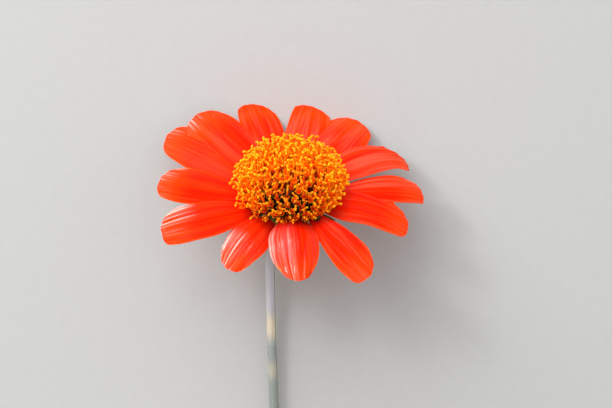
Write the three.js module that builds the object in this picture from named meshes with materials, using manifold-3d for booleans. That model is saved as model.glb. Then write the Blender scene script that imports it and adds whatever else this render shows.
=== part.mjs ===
// A cut Mexican sunflower bloom, a relative of the zinnia, lying on a flat surface.
// Millimetres, +Z up, the surface at z = 0. The stem runs along -Y and the head faces up and +Y.
import * as THREE from 'three';
import { mergeVertices } from 'three/addons/utils/BufferGeometryUtils.js';
import Module from 'manifold-3d';

// Where the head is held: the middle of the disc's base, and how far its axis leans from upright to +Y
const headX = 0.3;
const headY = 48.8;
const headHeight = 23.5;
const headLean = THREE.MathUtils.degToRad(48.3);

// Ray florets: the ring they grow from, then what all the blades share
const rayRing = { inner: 7.3, outer: 10.4, bottom: -4.6, top: -2.7 };
const rayRootRadius = 8.5;
const rayRootHeight = -3.5;
const rayThickness = 0.7;
const rayPleats = 4;
const rayPleatHeight = 0.16;
const rayClaw = 0.34;
const rayBelly = 0.5;
const rayShoulderDepth = 0.05;
const rayToothDepth = 0.01;
const rayToothSpan = 0.67;
const rayRows = 10;
const rayColumns = 8;

// Each ray: azimuth clockwise from the far side of the head, length and width, rise at the root and
// at the tip, roll, sideways bend, arch across, skew of the tip, bluntness of the tip,
// lap of one edge over the neighbour at the root, and step up or down from the common root height
const rays = [
  { azimuth: -44, length: 29.5, width: 14.5, rise: 20, fall: 0, roll: 4, bend: 0,
    arch: 14, skew: 0.6, blunt: 1.1, lap: -9 },
  { azimuth: -58, length: 30.5, width: 15, rise: 20, fall: -14, roll: 12, bend: -4,
    arch: 14, skew: -0.4, blunt: 1.12, step: -0.6 },
  { azimuth: -84, length: 28, width: 14, rise: 20, fall: -28, roll: 4, bend: 0,
    arch: 14, skew: 0, blunt: 1.06, lap: 9 },
  { azimuth: -114, length: 28, width: 13, rise: 13, fall: -22, roll: 0, bend: -2,
    arch: 14, skew: -0.6, blunt: 1.08, lap: 9 },
  { azimuth: -150, length: 22, width: 11.5, rise: 12, fall: -40, roll: 0, bend: 0,
    arch: 16, skew: 1.2, blunt: 1.1, lap: 9 },
  { azimuth: 177, length: 21.5, width: 13, rise: 12, fall: -38, roll: 0, bend: -8,
    arch: 16, skew: 0.2, blunt: 1.03, step: 0.5 },
  { azimuth: 144, length: 27, width: 11, rise: 8, fall: -34, roll: 0, bend: 2,
    arch: 16, skew: 0, blunt: 1.1, lap: -9 },
  { azimuth: 105, length: 24.5, width: 12.5, rise: 12, fall: -34, roll: 0, bend: 0,
    arch: 14, skew: 1.5, blunt: 1.14, lap: -6 },
  { azimuth: 85, length: 28, width: 11.5, rise: 18, fall: -36, roll: 0, bend: 0,
    arch: 14, skew: 1.2, blunt: 1.25, lap: -6 },
  { azimuth: 60, length: 29.5, width: 12.5, rise: 27, fall: -46, roll: 0, bend: 0,
    arch: 14, skew: 0, blunt: 1.08, lap: -6 },
  { azimuth: 33, length: 27, width: 15, rise: 15, fall: -14, roll: 0, bend: 0,
    arch: 14, skew: 0, blunt: 1.1, lap: -9 },
  { azimuth: 12, length: 26.5, width: 11.5, rise: 12, fall: -4, roll: 0, bend: 0,
    arch: 12, skew: -0.8, blunt: 1.08, lap: -9 },
  { azimuth: -17, length: 27.5, width: 12.5, rise: 12, fall: -4, roll: 0, bend: 0,
    arch: 12, skew: -0.3, blunt: 1.22, lap: -9 },
];

// Where a ray meets the surface it is pressed flat, over this depth of smooth bend,
// and what then lies within the rest depth of the surface is set down on it
const pressBend = 1;
const restDepth = 0.12;

// Disc: a domed core, and the florets that stand out of it up to a larger dome
const coreRadius = 11;
const coreHeight = 6.9;
const coreBottom = -1.2;
const coreEdge = { inset: 0.5, rise: 0.8 };
const coreArcSteps = 4;
const floretCount = 124;
const floretSides = 5;
const floretRoots = { radius: 9.4, height: 5.4 };
const floretTips = { radius: 15.7, height: 12 };
const floretTiltMax = THREE.MathUtils.degToRad(87);
const floretNeck = { radius: 0.62, share: 0.62 };
const floretFoot = 0.75;
const floretMouthShare = 0.93;
const floretFork = { long: 1.45, short: 0.8 };
const floretScatter = { turn: 0.06, reach: 0.02 };

// How a floret at the rim clears the rays near it: the least gap over them, the angle that counts as
// near, the least rise they are taken to have, and the share of their rise that they keep near the disc
const floretClearance = 1.9;
const nearRayAngle = 20;
const leastRayRise = 8;
const rayRiseShare = 0.85;

// Involucre: the green cup under the head with its boss, and two rows of bracts
const bossRadius = rayRing.inner - 0.3;
const bossTop = coreBottom - 0.3;
const cupRadius = 9.6;
const cupTop = rayRing.bottom - 0.3;
const cupBottom = -12.7;
const cupSide = [[2.9, cupBottom], [4.4, -11.5], [6.8, -9.7], [8.7, -7.5], [cupRadius, -5.6]];
const bractThickness = 0.8;
const bractTaper = 0.82;
const bractKeel = 0.12;
const bractSteps = 5;
const bractRows = [
  { count: 8, turn: 0, width: 5.2, line: [[6.1, -10.4], [8.3, -8.2], [10, -6.7], [12.9, -6.3]] },
  { count: 8, turn: 22.5, width: 4.8, line: [[3.6, -12.2], [6.2, -10.4], [8.4, -9.1], [12.4, -8.9]] },
];

// Stem: its axis from under the head to the cut end, beside the head's place and above the surface
const stemTop = cupBottom - 0.3;
const stemStraight = 1.6;
const stemRoute = [
  [-1.6, -12.4, 12.5], [-4.1, -15.4, 10.3], [-5.4, -18.6, 8.5], [-5.9, -23, 6.6],
  [-5.9, -30, 4.9], [-5.5, -40, 3.7], [-4.9, -52, 3.2], [-4.1, -68, 2.9],
  [-3.4, -86, 2.4], [-3, -104, 1.8], [-2.9, -119.5, 1.25],
];
const stemSides = 10;
const stemSteps = 30;
const stemCrowding = 1.5;
const stemNeckRadius = 2.7;
const stemNeckLength = 11;
const stemThinRadius = 1.05;
const stemCutRadius = 1.32;

const ringSides = 26;
const latheSides = 18;

const degrees = THREE.MathUtils.degToRad;
const wasm = await Module();
wasm.setup();

// A seeded draw between -1 and 1, the same in every run
function seededDraw(seed) {
  let state = seed;
  return () => {
    state = (Math.imul(state, 1664525) + 1013904223) >>> 0;
    return state / 2147483648 - 1;
  };
}

// Closed geometry to solid, with shared corners merged and the empty triangles at a lathe's axis left out
function solidFrom(geometry) {
  geometry.deleteAttribute('normal');
  geometry.deleteAttribute('uv');
  const merged = mergeVertices(geometry, 1e-4);
  const corners = merged.index.array;
  const kept = [];
  for (let k = 0; k < corners.length; k += 3) {
    const [a, b, c] = corners.slice(k, k + 3);
    if (a !== b && b !== c && c !== a) kept.push(a, b, c);
  }
  return new wasm.Manifold(new wasm.Mesh({
    numProp: 3,
    vertProperties: Float32Array.from(merged.attributes.position.array),
    triVerts: Uint32Array.from(kept),
  }));
}

function namedMesh(name, solid, colour, roughness) {
  const { vertProperties, triVerts } = solid.getMesh();
  const geometry = new THREE.BufferGeometry();
  geometry.setAttribute('position', new THREE.BufferAttribute(vertProperties, 3));
  geometry.setIndex(new THREE.BufferAttribute(triVerts, 1));
  geometry.computeVertexNormals();
  const material = new THREE.MeshStandardMaterial({ color: colour, roughness, metalness: 0 });
  const mesh = new THREE.Mesh(geometry, material);
  mesh.name = name;
  return mesh;
}

function indexed(points, triangles) {
  const coordinates = points.flatMap((point) => point.toArray());
  const geometry = new THREE.BufferGeometry();
  geometry.setAttribute('position', new THREE.Float32BufferAttribute(coordinates, 3));
  geometry.setIndex(triangles);
  return geometry;
}

// Rings of equal size joined in order and closed by a fan at each end
function skin(rings, startPoint, endPoint) {
  const sides = rings[0].length;
  const points = [startPoint, ...rings.flat(), endPoint];
  const last = points.length - 1;
  const triangles = [];
  for (let k = 0; k < sides; k++) {
    const next = (k + 1) % sides;
    triangles.push(0, 1 + next, 1 + k);
    for (let ring = 0; ring < rings.length - 1; ring++) {
      const here = 1 + ring * sides;
      const there = here + sides;
      triangles.push(here + k, here + next, there + next, here + k, there + next, there + k);
    }
    const top = 1 + (rings.length - 1) * sides;
    triangles.push(top + k, top + next, last);
  }
  return indexed(points, triangles);
}

// A grid of points given thickness along its own normals; both faces are split the same way
function thinSheet(grid, thickness) {
  const rows = grid.length - 1;
  const columns = grid[0].length - 1;
  const upper = [];
  const lower = [];
  for (let i = 0; i <= rows; i++) {
    for (let j = 0; j <= columns; j++) {
      const along = grid[Math.min(i + 1, rows)][j].clone().sub(grid[Math.max(i - 1, 0)][j]);
      const across = grid[i][Math.min(j + 1, columns)].clone().sub(grid[i][Math.max(j - 1, 0)]);
      const half = across.cross(along).setLength(thickness / 2);
      upper.push(grid[i][j].clone().add(half));
      lower.push(grid[i][j].clone().sub(half));
    }
  }
  const at = (i, j) => i * (columns + 1) + j;
  const under = upper.length;
  const triangles = [];
  for (let i = 0; i < rows; i++) {
    for (let j = 0; j < columns; j++) {
      const [a, b, c, d] = [at(i, j), at(i, j + 1), at(i + 1, j + 1), at(i + 1, j)];
      triangles.push(a, b, c, a, c, d);
      triangles.push(under + a, under + c, under + b, under + a, under + d, under + c);
    }
  }
  const rim = [];
  for (let j = 0; j < columns; j++) rim.push(at(0, j));
  for (let i = 0; i < rows; i++) rim.push(at(i, columns));
  for (let j = columns; j > 0; j--) rim.push(at(rows, j));
  for (let i = rows; i > 0; i--) rim.push(at(i, 0));
  rim.forEach((a, k) => {
    const b = rim[(k + 1) % rim.length];
    triangles.push(a, under + a, under + b, a, under + b, b);
  });
  return indexed([...upper, ...lower], triangles);
}

// Height above the surface of a point in the head's frame, and the move that presses it there
const upInHead = new THREE.Vector3(0, -Math.sin(headLean), Math.cos(headLean));

function pressed(point) {
  const height = upInHead.dot(point) + headHeight - rayThickness / 2;
  if (height >= pressBend) return point;
  const raised = height <= -pressBend ? 0 : (height + pressBend) ** 2 / (4 * pressBend);
  return point.clone().addScaledVector(upInHead, raised - height);
}

// Moves a corner of the rays that is nearly on the surface straight down onto it
function setDown(corner) {
  const height = upInHead.dot(new THREE.Vector3(...corner)) + headHeight;
  if (height >= restDepth) return;
  upInHead.toArray().forEach((share, axis) => { corner[axis] -= share * height; });
}

// Share of the full width at t along a ray, from the narrow claw over the belly to the blunt tip
function rayWidthShare(t, blunt) {
  if (t < rayBelly) return rayClaw + (1 - rayClaw) * Math.sin((Math.PI / 2) * (t / rayBelly)) ** 1.1;
  return Math.sqrt(Math.max(0, 1 - ((t - rayBelly) / (blunt - rayBelly)) ** 2.5));
}

// How far the tip's outline falls back at s across: round shoulders, and notches between the teeth
function rayTipCut(t, s, ray) {
  const shoulder = rayShoulderDepth * s * s * t ** 5;
  const notch = Math.abs(s) < rayToothSpan ? rayToothDepth * t ** 12 * (1 - Math.cos(3 * Math.PI * s)) : 0;
  return ray.length * (shoulder + notch) - ray.skew * s * t ** 5;
}

function rayBlade(ray) {
  const { length, width, rise, fall, roll, bend, arch, blunt, lap = 0, step = 0 } = ray;
  const midrib = new THREE.Vector3(0, rayRootRadius, rayRootHeight + step);
  const archAngle = degrees(2 * arch);
  const turn = new THREE.Matrix4().makeRotationZ(-degrees(ray.azimuth));
  const up = new THREE.Vector3(0, 0, 1);
  const grid = [];
  let before = null;
  for (let i = 0; i <= rayRows; i++) {
    const t = i / rayRows;
    const climb = degrees(rise + (fall - rise) * t ** 1.2);
    const heading = degrees(bend * (t - 0.3));
    const ahead = new THREE.Vector3(
      Math.sin(heading) * Math.cos(climb), Math.cos(heading) * Math.cos(climb), Math.sin(climb));
    if (before) midrib.addScaledVector(before.add(ahead), length / rayRows / 2);
    before = ahead.clone();
    const tilt = degrees(roll * Math.min(1, 1.6 * t) + lap * (1 - THREE.MathUtils.smoothstep(t, 0.3, 0.8)));
    const side = ahead.clone().cross(up).normalize().applyAxisAngle(ahead, -tilt);
    const above = side.clone().cross(ahead);
    const half = (width / 2) * rayWidthShare(t, blunt);
    const row = [];
    for (let j = 0; j <= rayColumns; j++) {
      const s = (2 * j) / rayColumns - 1;
      const pleat = rayPleatHeight * Math.min(1, 3 * t) * Math.cos(Math.PI * rayPleats * (s + 1));
      row.push(midrib.clone()
        .addScaledVector(side, (half * Math.sin(archAngle * s)) / archAngle)
        .addScaledVector(above, pleat - (half * (1 - Math.cos(archAngle * s))) / archAngle)
        .addScaledVector(ahead, -rayTipCut(t, s, ray)));
    }
    grid.push(row.map((point) => pressed(point.applyMatrix4(turn))));
  }
  return solidFrom(thinSheet(grid, rayThickness));
}

function rayFlorets() {
  const { inner, outer, bottom, top } = rayRing;
  const profile = [[inner, bottom], [outer, bottom], [outer, top], [inner, top], [inner, bottom]];
  let solid = lathe(profile, ringSides);
  for (const ray of rays) solid = solid.add(rayBlade(ray));
  return namedMesh('ray_florets', solid.warp(setDown), 0xf4330c, 0.5);
}

// A profile of [radius, height] pairs, from low to high on its outer side, turned about the head's axis
function lathe(profile, segments) {
  const turned = new THREE.LatheGeometry(profile.map(([r, z]) => new THREE.Vector2(r, z)), segments);
  return solidFrom(turned.rotateX(Math.PI / 2));
}

// Lowest a rim floret's tip may be over the ray that is nearest to its azimuth
function clearOfRays(azimuth, radius) {
  const gap = (ray) => Math.abs(THREE.MathUtils.euclideanModulo(azimuth - ray.azimuth + 180, 360) - 180);
  const near = rays.filter((ray) => gap(ray) < nearRayAngle);
  const rise = rayRiseShare * Math.max(...near.map((ray) => ray.rise), leastRayRise);
  return rayRootHeight + (radius - rayRootRadius) * Math.tan(degrees(rise)) + floretClearance;
}

// One floret: a slender tube from its root in the core, opening into two forked, outward branches
function discFloret(root, tip, forkTurn) {
  const axis = tip.clone().sub(root);
  const up = new THREE.Vector3(0, 0, 1);
  const turn = new THREE.Quaternion().setFromUnitVectors(up, axis.clone().normalize());
  const ring = (share, radiusAt) => Array.from({ length: floretSides }, (_, k) => {
    const angle = forkTurn + (2 * Math.PI * k) / floretSides;
    const flat = new THREE.Vector3(Math.cos(angle), Math.sin(angle), 0).multiplyScalar(radiusAt(k));
    return flat.applyQuaternion(turn).add(root).addScaledVector(axis, share);
  });
  const rings = [
    ring(0, () => floretFoot),
    ring(floretNeck.share, () => floretNeck.radius),
    ring(1, (k) => (k % 3 === 0 ? floretFork.long : floretFork.short)),
  ];
  return solidFrom(skin(rings, root, root.clone().addScaledVector(axis, floretMouthShare)));
}

function discFlorets() {
  const profile = [
    [0, coreBottom], [coreRadius - coreEdge.inset, coreBottom], [coreRadius, coreBottom + coreEdge.rise],
  ];
  for (let k = 1; k <= coreArcSteps; k++) {
    const angle = ((Math.PI / 2) * k) / coreArcSteps;
    profile.push([coreRadius * Math.cos(angle), coreHeight * Math.sin(angle)]);
  }
  profile[profile.length - 1][0] = 0;
  let solid = lathe(profile, latheSides);
  const draw = seededDraw(7);
  const goldenTurn = Math.PI * (3 - Math.sqrt(5));
  for (let k = 0; k < floretCount; k++) {
    const turn = k * goldenTurn + floretScatter.turn * draw();
    const cosTilt = 1 - ((k + 0.5) / floretCount) * (1 - Math.cos(floretTiltMax));
    const sinTilt = Math.sqrt(1 - cosTilt * cosTilt);
    const onDome = ({ radius, height }, scale) => new THREE.Vector3(
      scale * radius * sinTilt * Math.cos(turn), scale * radius * sinTilt * Math.sin(turn),
      scale * height * cosTilt);
    const tip = onDome(floretTips, 1 + floretScatter.reach * draw());
    const azimuth = 90 - THREE.MathUtils.radToDeg(turn);
    tip.z = Math.max(tip.z, clearOfRays(azimuth, Math.hypot(tip.x, tip.y)));
    solid = solid.add(discFloret(onDome(floretRoots, 1), tip, Math.PI * draw()));
  }
  return namedMesh('disc_florets', solid, 0xf59a12, 0.6);
}

// A pointed bract, keeled along its middle: it hugs the cup, then spreads away under the rays
function bract({ line, width }, azimuth) {
  const turn = new THREE.Matrix4().makeRotationZ(degrees(azimuth));
  const curve = new THREE.SplineCurve(line.map(([radius, height]) => new THREE.Vector2(radius, height)));
  const grid = [];
  for (let i = 0; i <= bractSteps; i++) {
    const t = i / bractSteps;
    const { x: radius, y: height } = curve.getPoint(t);
    const half = (width / 2) * (1 - bractTaper * t ** 3);
    grid.push([-1, 0, 1].map((s) => (
      new THREE.Vector3(radius, -s * half, height + bractKeel * half * Math.abs(s)).applyMatrix4(turn))));
  }
  return solidFrom(thinSheet(grid, bractThickness));
}

function involucre() {
  const boss = [[cupRadius, cupTop], [bossRadius, cupTop], [bossRadius, bossTop], [0, bossTop]];
  let solid = lathe([[0, cupBottom], ...cupSide, ...boss], latheSides);
  for (const row of bractRows) {
    for (let k = 0; k < row.count; k++) solid = solid.add(bract(row, row.turn + (360 * k) / row.count));
  }
  return namedMesh('involucre', solid, 0x5f7a3a, 0.75);
}

// Stem radius at a distance below the head: wide at the neck, thin below it, wider again at the cut
function stemRadius(distance, length) {
  const neck = Math.max(0, 1 - distance / stemNeckLength) ** 2;
  const below = THREE.MathUtils.lerp(stemThinRadius, stemCutRadius, distance / length);
  return below + (stemNeckRadius - below) * neck;
}

function stem() {
  const headward = new THREE.Vector3(0, Math.sin(headLean), Math.cos(headLean));
  const start = new THREE.Vector3(0, 0, headHeight).addScaledVector(headward, stemTop);
  const route = new THREE.CatmullRomCurve3([
    start, start.clone().addScaledVector(headward, -stemStraight),
    ...stemRoute.map((p) => new THREE.Vector3(...p)),
  ]);
  const length = route.getLength();
  const rings = [];
  for (let i = 0; i <= stemSteps; i++) {
    const share = (i / stemSteps) ** stemCrowding;
    const centre = route.getPointAt(share);
    const along = i === 0 ? headward.clone().negate() : route.getTangentAt(share);
    const side = new THREE.Vector3(0, 0, 1).cross(along).normalize();
    const above = along.clone().cross(side);
    const radius = stemRadius(share * length, length);
    rings.push(Array.from({ length: stemSides }, (_, k) => {
      const angle = (2 * Math.PI * k) / stemSides;
      const point = centre.clone()
        .addScaledVector(side, radius * Math.cos(angle)).addScaledVector(above, radius * Math.sin(angle));
      return point.setZ(point.z < restDepth ? 0 : point.z);
    }));
  }
  const mesh = namedMesh('stem', solidFrom(skin(rings, start, route.getPointAt(1))), 0x9aa08c, 0.7);
  mesh.position.set(headX, headY, 0);
  return mesh;
}

const head = new THREE.Group();
head.position.set(headX, headY, headHeight);
head.rotation.x = -headLean;
head.add(rayFlorets(), discFlorets(), involucre());

const group = new THREE.Group();
group.add(head, stem());

export default group;
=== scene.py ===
import math

import bpy
import numpy as np
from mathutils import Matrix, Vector


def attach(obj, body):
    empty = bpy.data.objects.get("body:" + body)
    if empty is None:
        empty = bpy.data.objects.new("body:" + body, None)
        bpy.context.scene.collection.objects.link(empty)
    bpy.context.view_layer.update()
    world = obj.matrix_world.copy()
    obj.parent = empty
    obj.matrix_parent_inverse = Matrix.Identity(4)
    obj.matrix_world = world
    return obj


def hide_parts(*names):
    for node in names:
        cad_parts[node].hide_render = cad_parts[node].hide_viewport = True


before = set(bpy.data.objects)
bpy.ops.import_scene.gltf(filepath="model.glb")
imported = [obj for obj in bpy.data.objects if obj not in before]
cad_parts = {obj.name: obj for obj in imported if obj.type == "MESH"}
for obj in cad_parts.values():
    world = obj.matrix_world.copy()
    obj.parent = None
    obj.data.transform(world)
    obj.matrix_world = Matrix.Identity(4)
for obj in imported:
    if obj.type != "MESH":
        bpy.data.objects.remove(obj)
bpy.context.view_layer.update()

MM = 0.001
draw = np.random.default_rng(41)

# Where the head is held, and how far it leans from facing up towards +Y
HEAD = np.array([0.3, 48.8, 23.5])
LEAN = math.radians(48.3)

# What all the rays share
RAY_ROOT = np.array([0.0, 8.5, -3.5])
RAY_THICKNESS = 0.36
RAY_PLEATS, RAY_PLEAT_HEIGHT = 4, 0.15
RAY_RIBS, RAY_RIB_HEIGHT = 10, 0.06
RAY_RIPPLE = 0.25
RAY_ROWS, RAY_COLUMNS = 76, 60

# Height within which a ray bends over to lie flat, and least height of a skin
PRESS_BEND = 1.8
LEAST_HEIGHT = 0.01

# Each ray: azimuth clockwise from the far side, length, width, and rise at root and tip in degrees.
# Roll, bend, arch, lap and step place the blade; skew, blunt, rounding, claw, belly, notch and lip shape
# its edge; fold is the depth of its pleats. Gloss starts at the share shine of the length, painted_highlight
# is the strength of a painted highlight there (on the other side where negative), and painted_reflection
# the share of pinker streaks of painted sky reflection.
RAYS = {
    "ray_top_left": dict(azimuth=-43.2, length=29, width=14.9, rise=20, fall=0, roll=4, skew=-0.5,
                         blunt=1.32, rounding=0.14, lap=-5, fold=0.3, shine=0.8, painted_highlight=-0.9, painted_reflection=0.3),
    "ray_left_upper": dict(azimuth=-56.3, length=32.1, width=14.7, rise=20, fall=-14, roll=13, bend=-1.4,
                           skew=-0.1, blunt=1.3, rounding=0.15, lap=0, step=-0.6, notch=0.9, fold=0.6,
                           gloss=0.4, shine=0.82, painted_highlight=1, painted_reflection=0.2),
    "ray_left": dict(azimuth=-86.9, length=27, width=12.2, rise=23, fall=-9.6, roll=9.2, bend=32.3,
                     skew=-0.7, blunt=1.28, rounding=0.14, claw=0.21, belly=0.82, lap=9, step=-1.9,
                     notch=0.6, shine=0.8, painted_highlight=1.2, painted_reflection=0.1),
    "ray_left_lower": dict(azimuth=-114, length=28.1, width=12.75, rise=17.9, fall=-11.8, roll=6.2,
                           bend=12.1, skew=-1.5, blunt=1.17, rounding=0.1, claw=0.23, belly=0.7, lap=9,
                           step=-1.7, notch=0.7, fold=1.5, gloss=0.6, shine=0.6, painted_highlight=1.4, painted_reflection=0.05),
    "ray_front_left": dict(azimuth=-144.2, length=20.4, width=11.8, rise=13.8, fall=-39.3, bend=2.7, arch=16,
                           skew=-0.7, blunt=1.15, rounding=0.16, claw=0.26, belly=0.51, lap=9, step=-1.8,
                           notch=0.5, fold=1.3, gloss=0.45, shine=0.4, painted_highlight=1.3, painted_reflection=0.1),
    "ray_front": dict(azimuth=176.7, length=21.9, width=13.6, rise=12, fall=-38, bend=-6.8, arch=16,
                      skew=-0.35, blunt=1.12, rounding=0.18, claw=0.38, belly=0.4, lap=0, step=0.5,
                      notch=0.8, fold=1.3, gloss=0.36, shine=0.1, painted_highlight=0.45, painted_reflection=0.2),
    "ray_front_right": dict(azimuth=143.6, length=25.6, width=10.7, rise=8, fall=-34, roll=-5, bend=-16,
                            arch=16, skew=1.4, blunt=1.28, rounding=0.17, claw=0.24, belly=0.79, notch=0.8,
                            painted_reflection=0.45),
    "ray_right_lower": dict(azimuth=102.6, length=24, width=12.4, rise=12, fall=-34, roll=2.3, bend=1.9,
                            skew=2.5, blunt=1.54, rounding=0.17, claw=0.59, belly=0.35, lap=-6, fold=0.7),
    "ray_right": dict(azimuth=82.6, length=28, width=10.3, rise=19.9, fall=-35, roll=-4.5, bend=-20.9,
                      skew=0.2, blunt=1.52, rounding=0.05, claw=0.15, belly=0.85, lap=-6, step=-1.5,
                      notch=0.3, fold=0.6, painted_reflection=0.6),
    "ray_right_upper": dict(azimuth=59.5, length=29.3, width=10.8, rise=27.7, fall=-48.5, roll=-4.7,
                            bend=-0.8, skew=1.74, blunt=1.28, rounding=0.13, claw=0.36, belly=0.47, lap=-6,
                            notch=0.2, lip=1.2, fold=0.8, painted_reflection=0.6),
    "ray_top_right": dict(azimuth=31.7, length=26.4, width=14.8, rise=15, fall=-14, roll=-1.3, bend=-1.2,
                          skew=-1.05, blunt=1.32, rounding=0.08, notch=0.5, fold=0.6, gloss=0.4, painted_reflection=0.55),
    "ray_back_right": dict(azimuth=10.7, length=26, width=12.1, rise=12, fall=-4, bend=-4.4, arch=12,
                           skew=-2, blunt=1.32, rounding=0.06, belly=0.55, notch=0.1, fold=0.7, gloss=0.12,
                           painted_reflection=0.7),
    "ray_back_left": dict(azimuth=-16.7, length=27.9, width=11.6, rise=12, fall=-4, roll=-2.6, bend=0.9,
                          arch=12, skew=-1.5, blunt=1.24, rounding=0.08, notch=0.3, fold=0.5, gloss=0.15,
                          painted_reflection=0.45),
}
RAY_USUAL = dict(roll=0, bend=0, arch=14, skew=0, blunt=1.1, rounding=0.13, claw=0.34, belly=0.5, lap=-9,
                 step=0, notch=1, lip=0, fold=1, gloss=0.6, shine=0.72, painted_highlight=0, painted_reflection=0.3)

# Disc: florets on a spiral, whose styles fork on a dome of this radius, height and lift
FLORETS = 256
FORK_DOME = (14.9, 10.5, -0.7)
FORK_EDGE = math.radians(86)
FLORET_LEAN, LEAN_GROWTH = math.radians(62), 2.4
ROOT_DOME = (9.7, 5, -0.4)
FLORET_REACH = 5.2
RIM_CLEARANCE = 1.2
FRONT_STRETCH = 1.04
# Where the disc turns from painted shade in front to painted light on the far side, for the florets and for
# the gaps between them
FRONT_EDGE, GAP_EDGE = (-10, -3), (-8, 2)
GOLDEN_TURN = math.pi * (3 - math.sqrt(5))
SHAFT_RADIUS, SHAFT_STEPS, SHAFT_SIDES = 0.27, 5, 7
BRANCH_STEPS, BRANCH_SIDES = 14, 7
PALE_THICKNESS, PALE_ROWS, PALE_COLUMNS = 0.14, 6, 5

# Corolla, ring by ring: share of the tube, radius, rise and spread of the five lobes, and reach
COROLLA_SIDES = 20
COROLLA_RINGS = [(0, 0.36, 0, 0, 0), (0.25, 0.38, 0, 0, 0.2), (0.5, 0.46, 0, 0, 0.4),
                 (0.75, 0.66, 0, 0, 0.6), (0.9, 0.77, 0.12, 0.04, 0.7), (0.98, 0.83, 0.5, 0.24, 0.85),
                 (1, 0.87, 0.95, 0.46, 1), (0.98, 0.81, 0.9, 0.42, 1), (0.95, 0.72, 0.45, 0.2, 0.8),
                 (0.85, 0.58, 0, 0, 0.5), (0.6, 0.38, 0, 0, 0.2)]

# Anther tube, ring by ring: height over the mouth, radius, rise of the five points, and reach
ANTHER_SIDES = 10
ANTHER_RINGS = [(-0.5, 0.28, 0, 0.5), (0.1, 0.31, 0, 0.7), (0.5, 0.34, 0, 1), (0.75, 0.32, 0.3, 0.7),
                (0.7, 0.22, 0.25, 0.7)]

# Core under the florets, as [radius, height] from its lower end
CORE_SIDES = 60
CORE_PROFILE = [(8.3, -4.9), (8.5, -3.4), (8.9, -2.3), (9.6, -1.6), (9.9, -0.4), (9.3, 1.5), (7.7, 3.1),
                (5.4, 4.1), (2.8, 4.6), (1, 4.7)]

# Involucre: the profile of the green cup, and two rows of bracts as [radius, height] lines
CUP_PROFILE = [(2.9, -12.7), (4.4, -11.5), (6.8, -9.7), (8.7, -7.5), (9.5, -5.6), (9.4, -4.9), (8.2, -4.6)]
CUP_SIDES, CUP_RIBS, CUP_RIB_SHARE = 96, 24, 0.018
BRACT_ROWS = [
    dict(count=8, turn=0.0, width=5.2, line=[(6.1, -10.4), (8.3, -8.2), (10, -6.7), (12.9, -6.3)]),
    dict(count=8, turn=22.5, width=4.8, line=[(3.6, -12.2), (6.2, -10.4), (8.4, -9.1), (12.4, -8.9)]),
]
BRACT_THICKNESS, BRACT_COLUMNS = 0.5, 15
BRACT_RIB_TURN = 15.7
BRACT_HAIRS = 1500
HAIRY_COLUMNS = [0, 0, 3, 7, 7, 11, 14, 14]

# Stem: its axis beside the head's place and above the surface, and its radius along the way
STEM_TOP, STEM_STRAIGHT = -13.0, 1.6
STEM_ROUTE = [(-1.6, -12.4, 12.5), (-4.1, -15.4, 10.3), (-5.4, -18.6, 8.5), (-5.6, -23, 6.6),
              (-5.5, -30, 4.9), (-5.3, -40, 3.7), (-4.9, -52, 3.2), (-4.3, -68, 2.9), (-3.6, -86, 2.4),
              (-3, -104, 1.8), (-2.9, -119.5, 1.25)]
STEM_NECK_RADIUS, STEM_NECK_LENGTH = 2.7, 11
STEM_THIN_RADIUS, STEM_CUT_RADIUS = 1.18, 1.32
STEM_RINGS, STEM_SIDES = 170, 32
STEM_RIDGES, STEM_STRIPES = 8, 10
STEM_HAIRS = 2600
HAIR_CLEARANCE, HAIR_SINK = 0.9, 0.03

# Rings of the dished cut, as [share of the radius, depth], and the depth of its middle
CUT_RINGS = [(0.93, -0.05), (0.7, 0.02), (0.4, 0.12), (0.15, 0.15)]
CUT_DEPTH = 0.15

# Cream marks on the stem: place and reach as shares of its length, and strength
STEM_MARKS = [(0.287, 0.034, 0.9), (0.389, 0.022, 0.5)]

# Camera: straight above, far enough to draw the head as the photograph does
EYE = (4.36, 43.82, 623.5)
SENSOR, LENS = 36, 134.7

# Studio, in metres: each light with its offset from the head, width, height and power
LIGHTS = {
    "key_light": ((-0.42, 0.6, 0.62), 1.1, 1.1, 8.2),
    "glint_light": ((-0.5, 0.32, 0.6), 0.16, 0.16, 1.6),
    "low_light": ((-1.25, 2.05, 0.4), 2.2, 0.36, 18),
}
SKY_STRENGTH = 0.74
SURFACE_REACH = 3


def unit(vectors):
    return vectors / np.linalg.norm(vectors, axis=-1, keepdims=True)


def smoothstep(value, low, high):
    share = np.clip((value - low) / (high - low), 0, 1)
    return share * share * (3 - 2 * share)


def turns(count):
    """Angles once round, in even steps."""
    return 2 * math.pi * np.arange(count) / count


def from_head(points):
    """Points of the head's own frame in the frame of the whole bloom."""
    x, y, z = np.moveaxis(points, -1, 0)
    lean, rise = math.sin(LEAN), math.cos(LEAN)
    return HEAD + np.stack([x, y * rise + z * lean, z * rise - y * lean], -1)


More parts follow.
